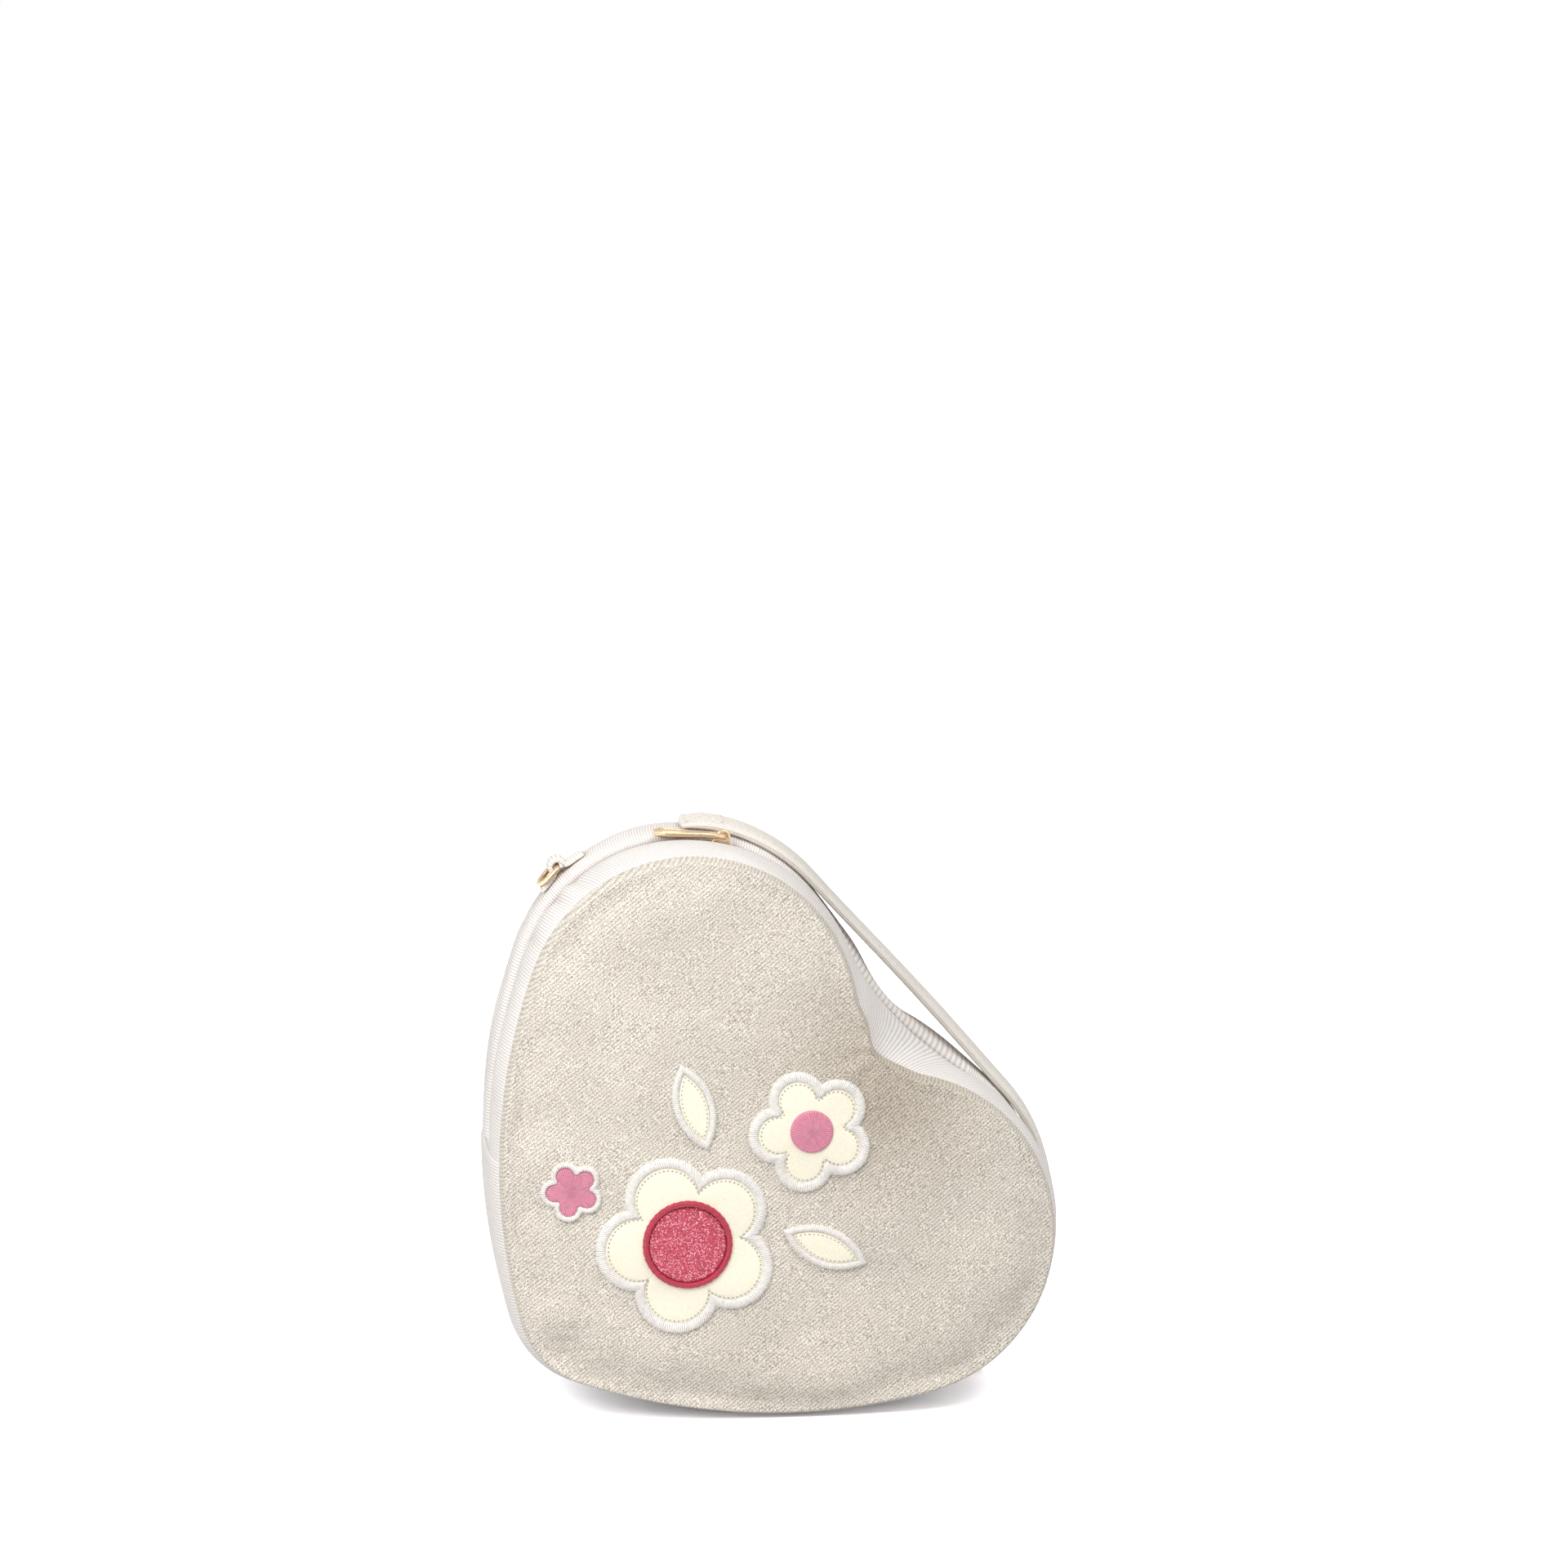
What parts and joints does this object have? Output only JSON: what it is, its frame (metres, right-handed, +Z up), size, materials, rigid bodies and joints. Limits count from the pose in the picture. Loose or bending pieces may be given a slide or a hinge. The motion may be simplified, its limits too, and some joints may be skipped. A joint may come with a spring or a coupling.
{
  "type": "heart shaped handbag",
  "caption": "Heart shaped zip-around handbag in ribbed velour, with a strap handle over its lobes, side rings and sewn-on felt blossoms.",
  "frame": {"origin": "on the surface the bag rests on, under the middle of its box", "axes": "+Z up, front towards -Y, the heart's tip at the lower left seen from the front"},
  "size_m": [0.2052, 0.0855, 0.2059],
  "materials": {
    "panel_velour": "brushed velour with a fine slanting grain",
    "band_velour": "ribbed velour",
    "foam": "soft foam padding",
    "board": "grey pressed card",
    "lining_satin": "satin",
    "zip_tape": "woven tape",
    "zip_teeth": "moulded",
    "pale_gold": "polished pale gold",
    "cream_felt": "brushed felt",
    "white_thread": "satin stitch",
    "crimson_glitter": "glitter cloth",
    "crimson_thread": "satin stitch",
    "rose_satin": "satin stitch"
  },
  "bodies": {
    "back_shell": {"back_panel": "panel_velour", "back_padding": "foam", "back_board": "board", "back_lining": "lining_satin", "back_band": "band_velour", "back_spine": "band_velour", "back_zip_tape": "zip_tape", "back_zip_teeth": "zip_teeth", "back_zip_stops": "pale_gold", "handle": "band_velour", "left_ring_tab": "band_velour", "right_ring_tab": "band_velour"},
    "front_shell": {"front_panel": "panel_velour", "front_padding": "foam", "front_board": "board", "front_lining": "lining_satin", "front_band": "band_velour", "front_spine": "band_velour", "front_zip_tape": "zip_tape", "front_zip_teeth": "zip_teeth", "front_zip_stops": "pale_gold", "large_blossom": "cream_felt", "large_blossom_border": "white_thread", "large_blossom_centre": "crimson_glitter", "large_centre_border": "crimson_thread", "medium_blossom": "cream_felt", "medium_blossom_border": "white_thread", "medium_blossom_centre": "rose_satin", "small_blossom": "rose_satin", "small_blossom_border": "white_thread", "leaves": "cream_felt", "leaf_borders": "white_thread"},
    "zip_slider": {"zip_slider": "pale_gold"},
    "zip_puller": {"zip_puller": "pale_gold"},
    "left_ring": {"left_ring": "pale_gold"},
    "right_ring": {"right_ring": "pale_gold"}
  },
  "joints": [
    {"name": "front_opening", "type": "hinge", "parent": "back_shell", "child": "front_shell", "pos_m": [-0.08799, 0, 0.02091], "axis": [0.6691, 0, -0.7431], "range_deg": [0, 25]},
    {"name": "slider_travel", "type": "hinge", "parent": "back_shell", "child": "zip_slider", "pos_m": [-0.03286, 0, 0.14052], "axis": [0, 1, 0], "range_deg": [-68, 40]},
    {"name": "puller_swing", "type": "hinge", "parent": "zip_slider", "child": "zip_puller", "pos_m": [-0.01806, 0, 0.1999], "axis": [0, 1, 0], "range_deg": [0, 190]},
    {"name": "left_ring_swing", "type": "hinge", "parent": "back_shell", "child": "left_ring", "pos_m": [-0.07576, 0.0136, 0.18815], "axis": [0, 1, 0], "range_deg": [0, 184]},
    {"name": "right_ring_swing", "type": "hinge", "parent": "back_shell", "child": "right_ring", "pos_m": [0.07962, 0.0136, 0.01559], "axis": [0, 1, 0], "range_deg": [-132, 48]}
  ]
}
